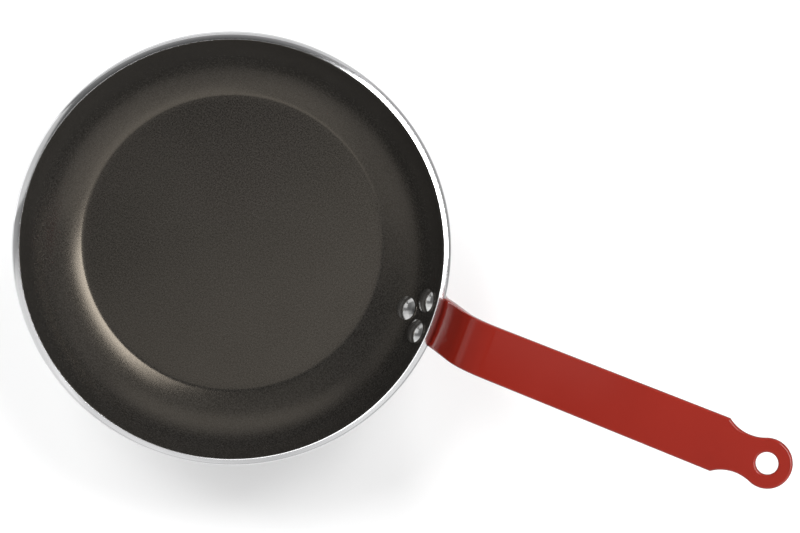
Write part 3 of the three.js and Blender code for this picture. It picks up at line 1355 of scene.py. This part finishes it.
@dataclass(frozen=True)
class Patch:
    """A soft-edged patch of light, which only reflections show: a level times its fades."""

    name: str
    level: float
    fades: tuple[Fade, ...]

    def shine(self, nodes: Nodes, ways: dict[Axis, Socket]) -> Socket:
        """Multiplies the patch's fades.

        Args:
            nodes: the tree to build in.
            ways: the distance along each axis.

        Returns:
            The patch's brightness.
        """
        light: Socket | float = self.level
        for fade in self.fades:
            light = nodes.math("MULTIPLY", light, fade.on(nodes, ways))
        return light


@dataclass(frozen=True)
class Floor:
    """A pale floor that keeps the pan's soft shadow, and that is clear from below."""

    half: float = 6.0
    drop: float = 0.3 * MM
    tone: Colour = (0.88, 0.88, 0.88, 1)
    glow: float = 0.34
    # In reflections the floor is a glow at these levels: painted shade makes it darker to the
    # picture's right and left.
    mirrored: Patch = Patch("floor", 1.0, (
        Fade(Axis.RIGHT, 0.15, 0.30, 0.9, 0.25),
        Fade(Axis.RIGHT, -0.60, -0.45, 0.35),
    ))
    lamp_rise: float = 1.5
    lamp_fan: tuple[tuple[float, float], ...] = (
        (-2.4, 0.6), (-1.15, 1.5), (1.15, 1.5), (2.4, 0.6),
    )
    lamp_angle: float = math.radians(40)

    def lay(self, view: View) -> None:
        """Lays the floor with its own fan of lamps, which leave a shadow at the picture's foot.

        Args:
            view: the camera.
        """
        bpy.ops.object.select_all(action="DESELECT")
        bpy.ops.mesh.primitive_plane_add(size=2 * self.half, location=(0, 0, -self.drop))
        floor = bpy.context.active_object
        floor.name = "floor"
        floor.data.materials.append(self.material(view))

        only = bpy.data.collections.new("lit_floor")
        only.objects.link(floor)
        for number, (across, strength) in enumerate(self.lamp_fan):
            heading = view.heading(across, self.lamp_rise, 1.0)
            data = bpy.data.lights.new(f"floor_lamp_{number}", "SUN")
            data.energy = strength / heading.z
            data.angle = self.lamp_angle
            lamp = bpy.data.objects.new(data.name, data)
            lamp.rotation_euler = heading.to_track_quat("Z", "Y").to_euler()
            lamp.light_linking.receiver_collection = only
            bpy.context.scene.collection.objects.link(lamp)

    def material(self, view: View) -> bpy.types.Material:
        """Makes the floor's finish, which glows in reflections, with painted shade that makes it
        darker at both sides.

        Args:
            view: the camera.

        Returns:
            The material.
        """
        material = bpy.data.materials.new("pale_floor")
        material.use_nodes = True
        nodes = Nodes(material.node_tree)
        path = nodes.add("LightPath").outputs
        geometry = nodes.add("NewGeometry").outputs
        matt = nodes.add("BsdfDiffuse", {"Color": self.tone}).outputs[0]
        white = nodes.add("Emission", {"Color": WHITE, "Strength": 1.0}).outputs[0]
        glow = nodes.math("MULTIPLY", path["Is Camera Ray"], self.glow)
        lit = nodes.add("MixShader", {0: glow, 1: matt, 2: white}).outputs[0]
        right = nodes.vector("DOT_PRODUCT", geometry["Position"], view.right)["Value"]
        # The floor's glow in reflections, with painted shade at both sides.
        level = self.mirrored.shine(nodes, {Axis.RIGHT: right})
        pale = nodes.add("Emission", {"Color": WHITE, "Strength": level}).outputs[0]
        seen = nodes.math("MAXIMUM", path["Is Glossy Ray"], path["Is Transmission Ray"])
        above = nodes.add("MixShader", {0: seen, 1: lit, 2: pale}).outputs[0]
        clear = nodes.add("BsdfTransparent").outputs[0]
        both = nodes.add("MixShader", {0: geometry["Backfacing"], 1: above, 2: clear})
        nodes.add("OutputMaterial", {"Surface": both.outputs[0]})
        return material


DIM_LEFT = Fade(Axis.RIGHT, -0.70, -0.35, 0.55)


@dataclass(frozen=True)
class Surround:
    """The studio round the pan: white to the camera, soft to dull surfaces, uneven in reflections.

    The table's edge leans towards the camera and steps at the right. Its middle is dimmest.
    """

    ambient: float = 0.37
    table_lean: float = 0.13
    table_step: Fade = Fade(Axis.RIGHT, -0.35, -0.15, 0.0, 0.07)
    table_middle: float = 0.13
    patches: tuple[Patch, ...] = (
        Patch("overhead", 0.18, (Fade(Axis.BACK, 0.80, 0.94, 1.0, 0.0), DIM_LEFT)),
        Patch("sides", 0.13, (Fade(Axis.BACK, 0.30, 0.70, 1.0, 0.0), DIM_LEFT)),
        Patch("horizon", 1.05, (
            Fade(Axis.BACK, -0.02, 0.26, 1.0, 0.0),
            Fade(Axis.UP, -0.25, -0.05),
            Fade(Axis.RIGHT, 0.45, 0.75, 1.0, 0.05),
            Fade(Axis.RIGHT, -0.85, -0.55, 0.45),
        )),
        Patch("table", 0.58, (
            Fade(Axis.TABLE, -0.25, -0.21, 1.0, 0.0),
            Fade(Axis.BACK, 0.02, 0.34, 0.30),
            Fade(Axis.RIGHT, -0.62, -0.46, 0.35),
            Fade(Axis.ASIDE, 0.0, 0.32, 0.58),
        )),
        Patch("top", 0.13, (Fade(Axis.UP, 0.0, 0.4), Fade(Axis.RIGHT, -0.60, -0.35, 0.15))),
        Patch("left", 0.26, (
            Fade(Axis.RIGHT, -0.70, -0.45, 1.0, 0.0),
            Fade(Axis.UP, -0.15, 0.05, 1.0, 0.0),
        )),
        Patch("near", 0.28, (
            Fade(Axis.RIGHT, -0.37, -0.345),
            Fade(Axis.RIGHT, -0.12, -0.02, 1.0, 0.0),
            Fade(Axis.UP, 0.0, 0.12, 1.0, 0.0),
            Fade(Axis.UP, -0.30, -0.24),
        )),
    )

    def hang(self, view: View) -> None:
        """Makes the scene's world.

        Args:
            view: the camera.
        """
        world = bpy.data.worlds.new("surround")
        world.use_nodes = True
        bpy.context.scene.world = world
        nodes = Nodes(world.node_tree)
        look = nodes.add("TexCoord").outputs["Generated"]

        def along(axis: Vector) -> Socket:
            """Returns how far the looked-in direction goes along an axis."""
            return nodes.vector("DOT_PRODUCT", look, axis)["Value"]

        ways = {
            Axis.RIGHT: along(view.right),
            Axis.UP: along(view.up),
            Axis.BACK: along(view.back),
        }
        edge = along(view.up + view.back * self.table_lean)
        ways[Axis.TABLE] = nodes.math("ADD", edge, self.table_step.on(nodes, ways))
        aside = nodes.math("SUBTRACT", ways[Axis.RIGHT], self.table_middle)
        ways[Axis.ASIDE] = nodes.math("ABSOLUTE", aside)
        mirrored: Socket | float = -self.ambient
        for patch in self.patches:
            mirrored = nodes.math("ADD", mirrored, patch.shine(nodes, ways))
            log.info("surround's %s", patch.name)
        path = nodes.add("LightPath").outputs
        glossy = nodes.math("MULTIPLY", path["Is Glossy Ray"], mirrored)
        plain = nodes.math("MAXIMUM", path["Is Camera Ray"], path["Is Transmission Ray"])
        white = nodes.math("MULTIPLY", plain, 1.0 - self.ambient)
        level = nodes.math("ADD", nodes.math("ADD", glossy, white), self.ambient)
        sky = nodes.add("Background", {"Color": WHITE, "Strength": level})
        nodes.add("OutputWorld", {"Surface": sky.outputs[0]})


KEY_LEAN = 34.0
LEFT = (-1.0, 0.0, 0.0)
LAMPS = (
    Softbox("key_softbox", (0.64, -0.012, 0.89), (0.36, 0.78), 10.0, KEY_LEAN, lights=UNLINED),
    Softbox("key_middle", (0.6244, 0.0108, 0.89), (0.36, 0.695), 10.0, KEY_LEAN, lights=LINING),
    Softbox("key_upper_end", (0.395, 0.35, 0.89), (0.36, 0.12), 4.0, KEY_LEAN, lights=LINING),
    Softbox("key_lower_end", (0.903, -0.401, 0.89), (0.36, 0.30), 1.35, KEY_LEAN, lights=LINING),
    Softbox("left_fill", (-0.9, 0.17, 0.65), (0.6, 0.6), 1.3, mirrored=False),
    Softbox("top_card", (0.0, 0.374, 0.255), (0.8, 0.17), 0.43, back=(0.0, 0.7, 0.7)),
    Softbox("left_card", (-0.194, 0.075, 0.1), (0.2, 0.12), 0.52, back=LEFT, lights=BARE),
    Softbox("low_card", (-0.26, -0.206, 0.16), (0.32, 0.288), 0.24, back=LEFT, lights=BARE),
    Softbox("dim_card", (-0.194, 0.058, 0.074), (0.147, 0.155), 0.15, back=LEFT, lights=COATED),
    Softbox("grip_card", (-0.054, -0.1457, 0.7), (0.132, 0.06), 0.47, -17.3, (0.0, 0.0, 1.0)),
    Softbox(
        "front_window", (0.84, -2.06, 3.324), (1.77, 1.77), 1.95, spreads=False, lights=UNLINED
    ),
    Softbox("front_card", (0.207, -0.593, 0.788), (0.85, 0.874), 0.64, 30.0, lights=LINING),
    Softbox("riser_fill", (-0.84, 0.28, 0.20), (0.4, 0.4), 3.2, mirrored=False, lights=PAINT),
)


@dataclass
class Studio:
    """Camera, floor, surround and lamps."""

    view: View = field(default_factory=View)
    floor: Floor = field(default_factory=Floor)
    surround: Surround = field(default_factory=Surround)
    lamps: tuple[Softbox, ...] = LAMPS

    def set_up(self, pieces: list[Dressed]) -> None:
        """Puts everything round the pan's pieces in place.

        Args:
            pieces: the pan's pieces with their slots.
        """
        bpy.context.scene.view_settings.view_transform = "Standard"
        self.view.set_up()
        self.floor.lay(self.view)
        self.surround.hang(self.view)
        for lamp in self.lamps:
            lamp.hang(self.view, pieces)


def main() -> None:
    """Builds the pan's pieces and the studio round them."""
    logging.basicConfig(level=logging.INFO, format="%(name)s: %(message)s")
    effects = Effects()
    wall = WallSection()
    lining = Lining(wall)
    rivets = RivetSet(wall, lining)
    handle = StripHandle(wall, rivets)

    drill = rivets.drill()
    made = [part.dress(drill, effects) for part in (PanBody(wall), lining, handle)]
    bpy.data.objects.remove(drill)
    made += rivets.dress(effects)

    Studio().set_up(made)


if __name__ == "__main__":
    main()
